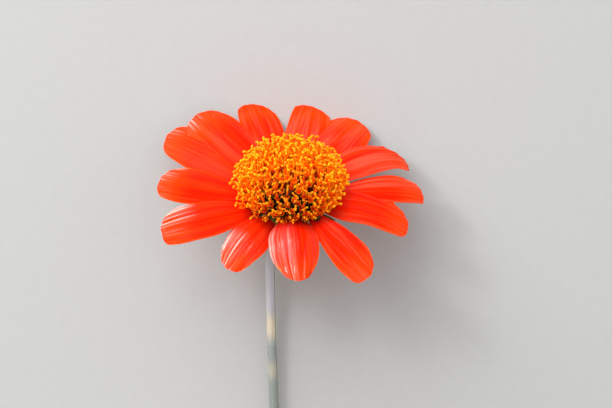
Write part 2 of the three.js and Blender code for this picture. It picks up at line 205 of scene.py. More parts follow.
class Skin:
    """Points, triangles, material places and values per point, gathered for one mesh."""

    def __init__(self):
        self.points, self.triangles, self.places, self.values, self.size = [], [], [], {}, 0

    def add(self, points, triangles, place=0, **values):
        points = points.reshape(-1, 3)
        self.points.append(points)
        self.triangles.append(triangles + self.size)
        self.places.append(np.broadcast_to(place, len(triangles)))
        for name, value in values.items():
            spread = np.broadcast_to(np.ravel(value), len(points))
            self.values.setdefault(name, []).append(spread)
        self.size += len(points)

    def piece(self, name, finishes, node, slot, crease=None):
        """Makes the mesh, in metres, as a piece that stands for a CAD node."""
        points = np.concatenate(self.points) * MM
        corners = np.concatenate(self.triangles)
        mesh = bpy.data.meshes.new(name)
        mesh.vertices.add(len(points))
        mesh.vertices.foreach_set("co", points.astype(np.float32).ravel())
        mesh.loops.add(corners.size)
        mesh.loops.foreach_set("vertex_index", corners.astype(np.int32).ravel())
        mesh.polygons.add(len(corners))
        mesh.polygons.foreach_set("loop_start", np.arange(0, corners.size, 3, dtype=np.int32))
        mesh.polygons.foreach_set("material_index", np.concatenate(self.places).astype(np.int32))
        for value_name, values in self.values.items():
            layer = mesh.attributes.new(value_name, "FLOAT", "POINT")
            layer.data.foreach_set("value", np.concatenate(values).astype(np.float32))
        mesh.update(calc_edges=True)
        mesh.shade_smooth()
        if crease:
            mesh.set_sharp_from_angle(angle=math.radians(crease))
        for finish in finishes:
            mesh.materials.append(finish)
        made = bpy.data.objects.new(name, mesh)
        bpy.context.scene.collection.objects.link(made)
        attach(made, "root")
        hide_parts(node)


def sheet(grid, thickness):
    """A closed thin sheet about a grid of points, with 1 for each triangle of its under side."""
    normal = unit(np.cross(np.gradient(grid, axis=1), np.gradient(grid, axis=0)))
    half = normal * np.asarray(thickness)[..., None] / 2
    at = np.arange(grid.shape[0] * grid.shape[1]).reshape(grid.shape[:2])
    a, b, c, d = at[:-1, :-1], at[:-1, 1:], at[1:, 1:], at[1:, :-1]
    upper = np.stack([a, b, c, a, c, d], -1).reshape(-1, 3)
    lower = upper[:, ::-1] + at.size
    rim = np.concatenate([at[0, :-1], at[:-1, -1], at[-1, :0:-1], at[:0:-1, 0]])
    ahead = np.roll(rim, -1)
    side = np.stack([rim, rim + at.size, ahead + at.size, rim, ahead + at.size, ahead], -1)
    triangles = np.concatenate([upper, lower, side.reshape(-1, 3)])
    under = np.zeros(len(triangles), int)
    under[len(upper):2 * len(upper)] = 1
    return np.stack([grid + half, grid - half]), triangles, under


def ring_skins(rings, starts, ends):
    """Many closed skins at once: rings of equal size joined in order, with a fan at each end."""
    many, count, sides = rings.shape[:3]
    points = np.concatenate([starts[:, None], rings.reshape(many, -1, 3), ends[:, None]], axis=1)
    here = 1 + np.arange(count * sides).reshape(count, sides)
    after = np.roll(here, -1, axis=1)
    near, near_after, far, far_after = here[:-1], after[:-1], here[1:], after[1:]
    walls = np.stack([near, near_after, far_after, near, far_after, far], -1).reshape(-1, 3)
    first = np.stack([np.zeros(sides, int), after[0], here[0]], -1)
    last = np.stack([here[-1], after[-1], np.full(sides, points.shape[1] - 1)], -1)
    one = np.concatenate([first, walls, last])
    triangles = one[None] + (np.arange(many) * points.shape[1])[:, None, None]
    return points, triangles.reshape(-1, 3)


def rods(paths, radii, across, sides):
    """Closed round rods along many paths; across is a direction square to each path's plane."""
    ahead = unit(np.gradient(paths, axis=1))
    lift = unit(np.cross(ahead, across))
    over = np.cross(lift, ahead)
    turn = turns(sides)[:, None]
    around = over[:, :, None] * np.cos(turn) + lift[:, :, None] * np.sin(turn)
    rings = paths[:, :, None] + np.asarray(radii)[..., None, None] * around
    return ring_skins(rings, paths[:, 0], paths[:, -1])


def lathe(profile, turn, ribbed=1):
    """A closed skin round Z, from a line of [radius, height] and a factor on each column's radius."""
    rings = np.stack([np.stack([r * ribbed * np.cos(turn), r * ribbed * np.sin(turn), z + 0 * turn], -1)
                      for r, z in profile])[None]
    return ring_skins(rings, np.array([[0, 0, profile[0][1]]]), np.array([[0, 0, profile[-1][1]]]))


def smooth_path(knots, samples=60):
    """Points along a smooth curve through the knots."""
    knots = np.array(knots, float)
    ends = np.vstack([2 * knots[0] - knots[1], knots, 2 * knots[-1] - knots[-2]])
    t = np.linspace(0, 1, samples, endpoint=False)[:, None]
    run = []
    for a, b, c, d in zip(ends, ends[1:], ends[2:], ends[3:]):
        before, here, after = (math.sqrt(np.linalg.norm(q - p)) for p, q in ((a, b), (b, c), (c, d)))
        leave = ((b - a) / before - (c - a) / (before + here) + (c - b) / here) * here
        arrive = ((c - b) / here - (d - b) / (here + after) + (d - c) / after) * here
        run.append((2 * t**3 - 3 * t**2 + 1) * b + (t**3 - 2 * t**2 + t) * leave
                   + (3 * t**2 - 2 * t**3) * c + (t**3 - t**2) * arrive)
    return np.concatenate([*run, knots[-1:]])


def hairs(skin, feet, normals, length, width, spread):
    """Tiny closed spikes that stand on a surface."""
    count = len(feet)
    lean = unit(normals + spread * draw.normal(size=(count, 3)))
    side = unit(np.cross(lean, [0.3, 0.5, 0.81]))
    other = np.cross(lean, side)
    turn = turns(3)[:, None]
    base = width * (side[:, None] * np.cos(turn) + other[:, None] * np.sin(turn))
    tips = feet + lean * (length * draw.uniform(0.5, 1.2, (count, 1)))
    points = np.concatenate([feet[:, None] + base, tips[:, None]], axis=1)
    one = np.array([[0, 2, 1], [0, 1, 3], [1, 2, 3], [2, 0, 3]])
    triangles = (one[None] + 4 * np.arange(count)[:, None, None]).reshape(-1, 3)
    skin.add(points, triangles)


class Wire:
    """One output of a finish's nodes. Arithmetic on number wires adds the nodes that work it out."""

    def __init__(self, finish, socket):
        self.finish, self.socket = finish, socket

    def __add__(self, other):
        return self.finish.math("ADD", self, other)

    def __radd__(self, other):
        return self.finish.math("ADD", other, self)

    def __sub__(self, other):
        return self.finish.math("SUBTRACT", self, other)

    def __rsub__(self, other):
        return self.finish.math("SUBTRACT", other, self)

    def __mul__(self, other):
        return self.finish.math("MULTIPLY", self, other)

    def __rmul__(self, other):
        return self.finish.math("MULTIPLY", other, self)


class Finish:
    """A material with one shader, whose maths is written as expressions on wires."""

    def __init__(self, name, **constants):
        self.material = bpy.data.materials.new(name)
        self.material.use_nodes = True
        self.tree = self.material.node_tree
        self.shader = self.tree.nodes["Principled BSDF"]
        for socket, value in constants.items():
            self.shader.inputs[socket.replace("_", " ")].default_value = value

    def feed(self, socket, value):
        if isinstance(value, Wire):
            self.tree.links.new(value.socket, socket)
        else:
            socket.default_value = value

    def node(self, kind, settings=None, inputs=None, output=0):
        made = self.tree.nodes.new(kind)
        for name, value in (settings or {}).items():
            if name == "stops":
                ramp = made.color_ramp
                for stop, (place, colour) in enumerate(value):
                    element = ramp.elements[stop] if stop < 2 else ramp.elements.new(place)
                    element.position, element.color = place, colour
            else:
                setattr(made, name, value)
        for name, value in (inputs or {}).items():
            self.feed(made.inputs[name], value)
        return Wire(self, made.outputs[output])

    def math(self, operation, first, second=0.0):
        return self.node("ShaderNodeMath", {"operation": operation}, {0: first, 1: second})

    def value(self, name):
        return self.node("ShaderNodeAttribute", {"attribute_name": name}, output="Fac")

    def place(self):
        return self.node("ShaderNodeTexCoord", output="Object")

    def vector(self, x, y, z):
        return self.node("ShaderNodeCombineXYZ", inputs={0: x, 1: y, 2: z})

    def noise(self, vector, scale, detail=2.0, roughness=0.5):
        inputs = {"Vector": vector, "Scale": scale, "Detail": detail, "Roughness": roughness}
        return self.node("ShaderNodeTexNoise", inputs=inputs)

    def step(self, value, low, high):
        inputs = {"Value": value, "From Min": low, "From Max": high}
        return self.node("ShaderNodeMapRange", {"interpolation_type": "SMOOTHSTEP"}, inputs)

    def mix(self, share, first, second):
        inputs = {0: share, 6: first, 7: second}
        return self.node("ShaderNodeMix", {"data_type": "RGBA"}, inputs, output=2)

    def bump(self, height, strength, distance_mm):
        inputs = {"Height": height, "Strength": strength, "Distance": distance_mm * MM}
        self.feed(self.shader.inputs["Normal"], self.node("ShaderNodeBump", inputs=inputs))

    def paint(self, colour, roughness):
        self.feed(self.shader.inputs["Base Color"], colour)
        self.feed(self.shader.inputs["Roughness"], roughness)
        return self.material


def srgb(red, green, blue):
    """A colour given as 0-255 screen values, in the linear light that shaders use."""
    shares = (value / 255 for value in (red, green, blue))
    return (*(s / 12.92 if s <= 0.04045 else ((s + 0.055) / 1.055) ** 2.4 for s in shares), 1)


# Rays, above and below
VERMILION, SCARLET = srgb(246, 46, 3), srgb(242, 24, 2)
ROOT_RED_AND_SHADE, FLAME = srgb(226, 9, 2), srgb(252, 78, 8)
# The pink of a painted sky reflection, and the near-white of a painted highlight
REFLECTION_PINK, PAINTED_HIGHLIGHT_WHITE = srgb(255, 94, 70), srgb(255, 218, 208)
UNDER_ORANGE, UNDER_PALE = srgb(252, 92, 26), srgb(255, 130, 52)
UNDER_VEIN, UNDER_ROOT = srgb(226, 84, 30), srgb(196, 104, 44)

# Disc: the painted glow of a dark floret, the pales and the core, with painted shade in front and painted
# light on the far side
FRONT_PAINTED_GLOW = srgb(60, 10, 2)
PALE_SHADE, PALE_TIP, PALE_PAINTED_LIGHT = srgb(26, 24, 6), srgb(70, 62, 22), srgb(240, 92, 5)
CORE_SHADE, CORE_PIT, CORE_PAINTED_LIGHT = srgb(20, 12, 3), srgb(52, 44, 14), srgb(196, 62, 4)

# Cup and bracts
BRACT_DARK, BRACT_LIGHT = srgb(60, 92, 34), srgb(98, 128, 54)
BRACT_RIB, BRACT_TIP = srgb(142, 160, 86), srgb(120, 112, 48)

# Stem, its cut end, and the down on stem and bracts
STEM_DARK, STEM_LIGHT, STEM_RIDGE = srgb(130, 138, 134), srgb(156, 162, 160), srgb(178, 180, 186)
STEM_LILAC_AND_LIGHT, STEM_CREAM, STEM_SHADE_GREEN = srgb(206, 203, 212), srgb(222, 206, 178), srgb(96, 126, 66)
STEM_SPECK, STEM_DULL, NECK_GREEN = srgb(110, 92, 84), srgb(106, 120, 102), srgb(104, 128, 68)
PITH_SHADE, PITH, CUT_RIM = srgb(206, 206, 168), srgb(238, 236, 208), srgb(134, 154, 92)
DOWN_SHADE, DOWN_LIGHT = srgb(196, 202, 176), srgb(232, 232, 224)

# The surface, in linear light
SURFACE_DARK, SURFACE_LIGHT = (0.48, 0.48, 0.475, 1), (0.51, 0.51, 0.505, 1)


def ray_finish():
    """Satin upper skin of the rays: lengthwise threads, redder at the root (partly painted shade), glossier
    at the tip, with painted near-white highlights and pink painted sky reflection.
    """
    finish = Finish("ray_upper_skin", Specular_IOR_Level=0.05, Specular_Tint=(1, 0.3, 0.1, 1),
                    Coat_Roughness=0.14, Coat_IOR=1.9)
    along, across, tone = finish.value("along"), finish.value("across"), finish.value("tone")
    threads = finish.noise(finish.vector(across * 16, along * 2.2, tone * 40), 1, 4, 0.6)
    veins = finish.noise(finish.vector(across * 5, along * 0.7, tone * 23), 1, 2)
    cells = finish.noise(finish.place(), 5200, 2)
    blotches = finish.noise(finish.place(), 140, 3)
    reflection_patches = finish.noise(finish.vector(across * 2.8, along * 0.8, tone * 57), 1, 2)
    root = 1 - finish.step(along, 0.04, 0.36)
    edge = finish.step(across * across, 0.7, 1.0)
    tip = finish.step(along, 0.62, 0.95)
    streak = finish.step(threads, 0.46, 0.62)
    colour = finish.mix(finish.step(veins, 0.35, 0.68), SCARLET, VERMILION)
    colour = finish.mix(finish.step(threads, 0.5, 0.8) * 0.3, colour, FLAME)
    colour = finish.mix(finish.step(blotches, 0.45, 0.75) * 0.2, colour, SCARLET)
    # Painted sky reflection: pink streaky patches, as strong as each ray's share
    painted_reflection = finish.value("painted_reflection") * finish.step(reflection_patches + (threads - 0.5) * 0.5, 0.4, 0.68)
    colour = finish.mix(painted_reflection, colour, REFLECTION_PINK)
    colour = finish.mix(edge * 0.45, colour, FLAME)
    colour = finish.mix(tip * 0.5, colour, FLAME)
    # Deep red at the root: partly the ray's own colour, partly painted shade near the disc
    colour = finish.mix(root * 0.7, colour, ROOT_RED_AND_SHADE)
    # Painted highlight: near-white streaks on the crests near the tip, on the sunny side
    painted_highlight = finish.value("painted_highlight") * finish.step(threads, 0.3, 0.55)
    colour = finish.mix(painted_highlight * 0.82, colour, PAINTED_HIGHLIGHT_WHITE)
    finish.bump(threads * 0.7 + cells * 0.3, 0.3, 0.2)
    finish.feed(finish.shader.inputs["Coat Weight"], finish.value("gloss") * (0.02 + streak * 0.8))
    return finish.paint(colour, 0.36 + threads * 0.14)


def ray_under_finish():
    """Under skin of the rays: paler orange, matt, with veins that stand out."""
    finish = Finish("ray_under_skin", Specular_IOR_Level=0.35, Sheen_Weight=0.3, Sheen_Roughness=0.5)
    along, across, tone = finish.value("along"), finish.value("across"), finish.value("tone")
    threads = finish.noise(finish.vector(across * 14, along * 2, tone * 31), 1, 4, 0.6)
    wave = finish.math("SINE", across * 23 + tone * 9)
    vein = finish.step(wave, 0.72, 1.0)
    colour = finish.mix(finish.step(threads, 0.3, 0.7), UNDER_ORANGE, UNDER_PALE)
    colour = finish.mix(vein * 0.5, colour, UNDER_VEIN)
    colour = finish.mix((1 - finish.step(along, 0.0, 0.3)) * 0.7, colour, UNDER_ROOT)
    finish.bump(threads * 0.5 + vein * 0.5, 0.4, 0.25)
    return finish.paint(colour, 0.55 + threads * 0.15)


def floret_finish(name, stops, grain, depth):
    """Skin of a floret's part: its colour runs from foot to tip and differs a little by floret, shifted
    yellower on the far side of the disc as painted light, and it glows faintly as painted light, most on the
    far side.
    """
    finish = Finish(name, Specular_IOR_Level=0.3, Specular_Tint=(1, 0.7, 0.3, 1), Subsurface_Weight=0.9,
                    Subsurface_Scale=0.0012, Subsurface_Radius=(1, 0.45, 0.1), Emission_Strength=0.16)
    reach, tone = finish.value("reach"), finish.value("tone")
    speckle = finish.noise(finish.place(), grain, 3, 0.6)
    settings = {"stops": [(place, srgb(*colour)) for place, colour in stops]}
    shift = reach + (tone - 0.5) * 0.5 + (speckle - 0.5) * 0.3
    colour = finish.node("ShaderNodeValToRGB", settings, {0: shift}, output=0)
    # Painted light: a faint glow in the floret's own colour on the far side of the disc, dark red in front
    finish.feed(finish.shader.inputs["Emission Color"], finish.mix(tone, FRONT_PAINTED_GLOW, colour))
    finish.bump(speckle, 0.5, depth)
    return finish.paint(colour, 0.45 + speckle * 0.2)


def pale_finish():
    """Dark, dull skin of the scales between the florets as painted shade, orange on the far side of the disc
    as painted light.
    """
    finish = Finish("pale_skin", Specular_IOR_Level=0.3)
    reach, tone = finish.value("reach"), finish.value("tone")
    grain = finish.noise(finish.place(), 2600, 3)
    colour = finish.mix(finish.step(reach + grain * 0.4, 0.4, 1.3), PALE_SHADE, PALE_TIP)
    # Painted light: orange on the far side of the disc
    colour = finish.mix(1 - tone, colour, PALE_PAINTED_LIGHT)
    finish.bump(grain, 0.4, 0.15)
    return finish.paint(colour, 0.6 + grain * 0.2)


def core_finish():
    """Pitted skin of the core, dark in front as painted shade and orange on the far side as painted light.
    """
    finish = Finish("disc_core_skin", Specular_IOR_Level=0.2)
    pits = finish.noise(finish.place(), 900, 3)
    colour = finish.mix(finish.step(pits, 0.35, 0.7), CORE_SHADE, CORE_PIT)
    # Painted light on the far side of the core, painted shade in front
    colour = finish.mix(finish.value("tone"), colour, CORE_PAINTED_LIGHT)
    finish.bump(pits, 0.6, 0.4)
    return finish.paint(colour, 0.75 + pits * 0.15)


def bract_finish():
    """Dull green skin of cup and bracts, ribbed lengthwise, yellower on the ribs and at the tips."""
    finish = Finish("bract_skin", Specular_IOR_Level=0.35, Sheen_Weight=0.25, Sheen_Roughness=0.5)
    along, across, tone = finish.value("along"), finish.value("across"), finish.value("tone")
    grain = finish.noise(finish.place(), 1500, 4)
    patches = finish.noise(finish.place(), 260, 3)
    rib = finish.step(finish.math("COSINE", across * BRACT_RIB_TURN), 0.55, 1.0)
    colour = finish.mix(finish.step(patches, 0.3, 0.7), BRACT_DARK, BRACT_LIGHT)
    colour = finish.mix(rib * 0.45, colour, BRACT_RIB)
    colour = finish.mix(finish.step(along + tone * 0.1, 0.8, 1.1) * 0.6, colour, BRACT_TIP)
    finish.bump(grain * 0.5 + rib * 0.5, 0.5, 0.25)
    return finish.paint(colour, 0.6 + grain * 0.2)


def stem_finish():
    """Grey-green stem, lilac and lighter near the head (partly its own tint, partly painted light), with
    cream marks, a greener lower side as painted shade, ridges and specks.
    """
    finish = Finish("stem_skin", Specular_IOR_Level=0.35, Sheen_Weight=0.2, Sheen_Roughness=0.4)
    along, around = finish.value("along"), finish.value("across")
    ridges = finish.math("COSINE", around * (STEM_STRIPES * 2 * math.pi)) * 0.5 + 0.5
    streaks = finish.noise(finish.vector(around * 20, along * 9, 0.0), 1, 4, 0.6)
    specks = finish.noise(finish.place(), 2400, 2)
    shaded = finish.math("COSINE", (around + 0.12) * (2 * math.pi)) + (streaks - 0.5) * 0.9
    colour = finish.mix(finish.step(streaks, 0.3, 0.7), STEM_DARK, STEM_LIGHT)
    colour = finish.mix(ridges * 0.3, colour, STEM_RIDGE)
    # Lilac and lighter near the head: partly the stem's own tint, partly painted light against the head's
    # shadow
    colour = finish.mix((1 - finish.step(along, 0.2, 0.36)) * 0.8, colour, STEM_LILAC_AND_LIGHT)
    for place, reach, strength in STEM_MARKS:
        distance = finish.math("ABSOLUTE", along + (streaks - 0.5) * 0.06 - place)
        nearness = 1 - finish.step(distance, 0.1 * reach, 1.4 * reach)
        colour = finish.mix(nearness * strength, colour, STEM_CREAM)
    # Painted shade: one lower side of the stem is greener
    colour = finish.mix(finish.step(shaded, 0.1, 0.8), colour, STEM_SHADE_GREEN)
    colour = finish.mix(finish.step(specks, 0.62, 0.75) * 0.4, colour, STEM_SPECK)
    colour = finish.mix(finish.step(along, 0.25, 0.6) * 0.6, colour, STEM_DULL)
    colour = finish.mix((1 - finish.step(along, 0.02, 0.16)) * 0.7, colour, NECK_GREEN)
    finish.bump(streaks * 0.6 + ridges * 0.4, 0.5, 0.18)
    return finish.paint(colour, 0.5 + specks * 0.2)


def stem_cut_finish():
    """Cut end of the stem: a green rim round pale, spongy pith."""
    finish = Finish("stem_cut", Specular_IOR_Level=0.5)
    outward = finish.value("outward")
    pores = finish.node("ShaderNodeTexVoronoi", inputs={"Vector": finish.place(), "Scale": 5200})
    colour = finish.mix(finish.step(pores, 0.1, 0.6), PITH_SHADE, PITH)
    colour = finish.mix(finish.step(outward, 0.62, 0.9), colour, CUT_RIM)
    finish.bump(pores, 0.5, 0.12)
    return finish.paint(colour, 0.45 + pores * 0.3)


def down_finish():
    """Pale hairs of the stem and the bracts."""
    finish = Finish("down_hair", Specular_IOR_Level=0.4)
    shade = finish.noise(finish.place(), 700, 2)
    return finish.paint(finish.mix(shade, DOWN_SHADE, DOWN_LIGHT), 0.5 + shade * 0.2)


def surface_finish():
    """Plain pale grey surface that the bloom lies on."""
    finish = Finish("pale_surface", Specular_IOR_Level=0.05)
    grain = finish.noise(finish.place(), 400, 4)
    colour = finish.mix(grain, SURFACE_DARK, SURFACE_LIGHT)
    return finish.paint(colour, 0.75 + grain * 0.1)


def ray_grid(ray, rows, columns):
    """Middle surface of a ray in the bloom's frame, with the values of its skin at each point.

    t runs from root to tip, and s from one edge to the other.
    """
    t, even = np.linspace(0, 1, rows + 1)[:, None], np.linspace(-1, 1, columns + 1)[None]
    s = 0.5 * even + 0.5 * np.sin(math.pi / 2 * even)

    # Midrib, and the directions ahead, to the side and above along it
    climb = np.radians(ray["rise"] + (ray["fall"] - ray["rise"]) * t[:, 0] ** 1.2)
    heading = np.radians(ray["bend"] * (t[:, 0] - 0.3))
    ahead = np.stack([np.sin(heading) * np.cos(climb), np.cos(heading) * np.cos(climb), np.sin(climb)], -1)
    moves = np.cumsum((ahead[1:] + ahead[:-1]) / 2, axis=0) * ray["length"] / rows
    midrib = RAY_ROOT + [0, 0, ray["step"]] + np.concatenate([np.zeros((1, 3)), moves])
    tilt = np.radians(ray["roll"] * np.minimum(1, 1.6 * t) + ray["lap"] * (1 - smoothstep(t, 0.3, 0.8)))
    flat = unit(np.cross(ahead, [0, 0, 1]))
    side = flat * np.cos(tilt) - np.cross(ahead, flat) * np.sin(tilt)
    above = np.cross(side, ahead)

    # Half width, relief of the blade, curl of its lip, and what is cut off the tip
    grow = np.sin(math.pi / 2 * np.minimum(t / ray["belly"], 1)) ** 1.1
    past = np.maximum(t - ray["belly"], 0) / (ray["blunt"] - ray["belly"])
    half = ray["width"] / 2 * (ray["claw"] + (1 - ray["claw"]) * grow) * np.sqrt(1 - past**2.5)
    arch = math.radians(2 * ray["arch"])
    phases = draw.uniform(-0.5, 0.5, 4)
    ripe = np.minimum(1, 3 * t) * (0.3 + 0.9 * smoothstep(t, 0.45, 0.9)) * (1 - 0.5 * smoothstep(t, 0.92, 1))
    pleats = ray["fold"] * np.cos(math.pi * RAY_PLEATS * (s + 1) + phases[0])
    ribs = np.cos(math.pi * RAY_RIBS * (s + 1) + phases[1] + 1.2 * np.sin(3 * s + 8 * phases[2]))
    ripple = np.abs(s) ** 3 * np.sin(2 * math.pi * (1.6 * t + phases[2]) + 2 * s) * smoothstep(t, 0.3, 0.8)
    relief = ripe * (RAY_PLEAT_HEIGHT * pleats + RAY_RIB_HEIGHT * ribs) + RAY_RIPPLE * ripple
    lip = ray["lip"] * smoothstep(s, 0.35, 1) * np.sqrt(np.clip(1 - ((t - 0.93) / 0.06) ** 2, 0, 1))
    shoulder = ray["rounding"] * (1 - np.sqrt(1 - 0.985 * s**2)) * t**4
    teeth = 0.004 * ray["notch"] * t**14 * (1 - np.cos(3 * math.pi * s)) * (np.abs(s) < 0.67)
    cut = ray["length"] * (shoulder + teeth) - ray["skew"] * s * t**3

    # The blade, turned to its azimuth and bent flat where it would reach the surface
    sideways = half * np.sin(arch * s) / arch + lip
    upward = relief + 0.5 * lip - half * (1 - np.cos(arch * s)) / arch
    points = (midrib[:, None] + side[:, None] * sideways[..., None]
              + above[:, None] * upward[..., None] - ahead[:, None] * cut[..., None])
    azimuth = math.radians(ray["azimuth"])
    x, y, z = np.moveaxis(points, -1, 0)
    turned = np.stack([x * math.cos(azimuth) + y * math.sin(azimuth),
                       y * math.cos(azimuth) - x * math.sin(azimuth), z], -1)
    placed = from_head(turned)
    height = placed[..., 2] - RAY_THICKNESS / 2
    raised = np.where(height <= -PRESS_BEND, 0, (height + PRESS_BEND) ** 2 / (4 * PRESS_BEND))
    placed[..., 2] += np.where(height < PRESS_BEND, raised - height, 0)

    # Painted highlight on the crests near the tip, with a faint painted haze between them
    tip = smoothstep(t, ray["shine"], ray["shine"] + 0.28)
    sunny = smoothstep(s * np.sign(ray["painted_highlight"]), -0.3, 0.6)
    crests = 0.5 * ribs + 0.3 * np.sin(9 * s) + 0.7 * smoothstep(np.abs(s), 0.8, 1)
    painted_haze = 0.3 * (1 - ray["shine"]) * (1 - smoothstep(t, 0.5, 0.9))
    painted_highlight = abs(ray["painted_highlight"]) * tip * sunny * np.maximum(painted_haze, smoothstep(crests, 0.1, 0.6))
    shares = {"along": t + 0 * s, "across": s + 0 * t, "gloss": ray["gloss"] * tip + 0 * s, "painted_highlight": painted_highlight,
              "painted_reflection": ray["painted_reflection"] + 0 * painted_highlight}
    return placed, shares


def make_rays():
    finishes = [ray_finish(), ray_under_finish()]
    for name, own in RAYS.items():
        grid, shares = ray_grid({**RAY_USUAL, **own}, RAY_ROWS, RAY_COLUMNS)
        thickness = RAY_THICKNESS * (1 - 0.45 * shares["across"]**6) * (1 - 0.3 * shares["along"]**8)
        points, triangles, under = sheet(grid, thickness)
        points[..., 2] = np.maximum(points[..., 2], LEAST_HEIGHT)
        values = {key: np.stack([share, share]) for key, share in shares.items()}
        skin = Skin()
        skin.add(points, triangles, place=under, tone=draw.uniform(), **values)
        skin.piece(name, finishes, "ray_florets", "ray_petal", crease=55)


def clear_of_rays(turn, radius):
    """Least height, in the head's own frame, that clears the rays near each turn."""
    azimuth = 90 - np.degrees(turn)
    rise = np.full_like(azimuth, 8.0)
    for ray in RAYS.values():
        gap = np.abs((azimuth - ray["azimuth"] + 180) % 360 - 180)
        rise = np.where(gap < 20, np.maximum(rise, ray["rise"]), rise)
    return RAY_ROOT[2] + (radius - RAY_ROOT[1]) * np.tan(np.radians(0.85 * rise)) + RIM_CLEARANCE


def floret_places():
    """Roots of the florets, their axes, the ways outwards and across, and the lengths up to the forks."""
    order = np.arange(FLORETS)
    turn = order * GOLDEN_TURN + 0.07 * draw.uniform(-1, 1, FLORETS)
    place = np.arccos(1 - (order + 0.5) / FLORETS * (1 - math.cos(FORK_EDGE)))
    outward = np.stack([np.cos(turn), np.sin(turn), 0 * turn], -1)
    around = np.cross([0, 0, 1], outward)
    radius, height, lift = FORK_DOME
    swell = draw.uniform(0.92, 1.03, FLORETS) + 0.06 * (draw.uniform(size=FLORETS) > 0.85)
    forks = outward * (radius * swell * np.sin(place))[:, None]
    forks[:, 1] *= np.where(forks[:, 1] < 0, FRONT_STRETCH, 1)
    forks[:, 2] = lift + height * swell * np.cos(place)
    forks[:, 2] = np.maximum(forks[:, 2], clear_of_rays(turn, np.hypot(forks[:, 0], forks[:, 1])))
    lean = (FLORET_LEAN * (place / FORK_EDGE) ** LEAN_GROWTH + 0.11 * draw.normal(size=FLORETS))[:, None]
    sway = 0.13 * draw.normal(size=(FLORETS, 1))
    axis = unit(outward * np.sin(lean) + [0, 0, 1] * np.cos(lean) + around * sway)

    # Length of each floret, back along its axis to the dome that the roots stand on
    wide, tall, low = ROOT_DOME
    squash = 1 / np.array([wide, wide, tall])
    way, start = axis * squash, (forks - [0, 0, low]) * squash
    square, half_sum = np.sum(way * way, -1), np.sum(way * start, -1)
    rest = half_sum**2 - square * (np.sum(start * start, -1) - 1)
    length = np.where(rest > 0, (half_sum - np.sqrt(np.maximum(rest, 0))) / square + 0.3, FLORET_REACH)
    length = np.minimum(length, FLORET_REACH)
    out = unit(outward - axis * np.sum(outward * axis, -1, keepdims=True))
    return forks - axis * length[:, None], axis, out, np.cross(axis, out), length


def off_the_rays(points):
    """Points of the disc in the bloom's frame, those that would stick through a ray lifted onto it."""
    turn, radius = np.arctan2(points[..., 1], points[..., 0]), np.hypot(points[..., 0], points[..., 1])
    least = np.where(radius > RAY_ROOT[1], clear_of_rays(turn, radius) - 0.7 * RIM_CLEARANCE, -9)
    height = np.maximum(points[..., 2:], least[..., None])
    return from_head(np.concatenate([points[..., :2], height], -1))


class Florets:
    """Places, measures and shades of the florets, which the disc's pieces share."""

    def __init__(self):
        self.roots, self.axis, self.out, self.across, self.length = floret_places()
        ahead = self.roots[:, 1]
        # Painted light and shade: florets on the far side get a yellower tone and those in front are darker;
        # darkness also slims the florets in front and lowers their mouths
        self.farness = smoothstep(ahead + draw.normal(size=FLORETS), *FRONT_EDGE)
        self.tone = 0.5 * draw.uniform(size=FLORETS) + 0.5 * self.farness
        self.darkness = 1 - 0.9 * self.farness
        self.gap_darkness = 1 - 0.9 * smoothstep(ahead + draw.normal(size=FLORETS), *GAP_EDGE)
        self.mouth = self.length - draw.uniform(1.5, 2.4, FLORETS) - 0.6 * self.darkness
        self.spin = draw.uniform(0, 2 * math.pi, (FLORETS, 1))

    def about(self, height, radius, angle):
        """Points round each floret's axis, at a height over its root."""
        outward = self.out[:, None] * np.cos(angle)[..., None]
        radial = outward + self.across[:, None] * np.sin(angle)[..., None]
        return self.roots[:, None] + self.axis[:, None] * height[..., None] + radial * radius[..., None]

    def at_axis(self, height):
        """One point on each floret's axis, at a height over its root."""
        return self.roots + self.axis * np.reshape(height, (-1, 1))

    def add_to(self, skin, points, triangles, reach):
        """Adds a part of every floret to a skin, with reach and tone at each point."""
        tone = np.repeat(self.tone, points.shape[1])
        skin.add(off_the_rays(points), triangles, reach=reach, tone=tone)


def make_corollas(florets):
    """Tubes that widen upwards into five pointed lobes, with an inner wall, slimmer in front and darker
    there as painted shade.
    """
    angle = np.broadcast_to(turns(COROLLA_SIDES), (FLORETS, COROLLA_SIDES))
    lobe = (0.5 + 0.5 * np.cos(5 * angle)) ** 1.4 * draw.uniform(0.6, 1.15, (FLORETS, 1))
    lobe = lobe * (1 - 0.4 * florets.darkness[:, None])
    slim = 1 - 0.2 * florets.darkness[:, None]
    rings = []
    for share, radius, rise, spread, _ in COROLLA_RINGS:
        height = share * florets.mouth[:, None] + rise * lobe
        rings.append(florets.about(height, radius * slim + spread * lobe, angle + florets.spin))
    points, triangles = ring_skins(np.stack(rings, axis=1), florets.at_axis(0),
                                   florets.at_axis(0.58 * florets.mouth))
    reach = np.concatenate([[0], np.repeat([row[-1] for row in COROLLA_RINGS], COROLLA_SIDES), [0.2]])
    skin = Skin()
    # Corollas in front run less far up their colours, as painted shade
    florets.add_to(skin, points, triangles, np.outer(1 - 0.35 * florets.darkness, reach))
    finish = floret_finish("corolla_skin", [(0.0, (200, 40, 3)), (0.4, (252, 84, 3)), (0.7, (255, 116, 4)),
                                            (1.0, (255, 144, 8))], 2200, 0.15)
    skin.piece("disc_corollas", [finish], "disc_florets", "disc_floret")


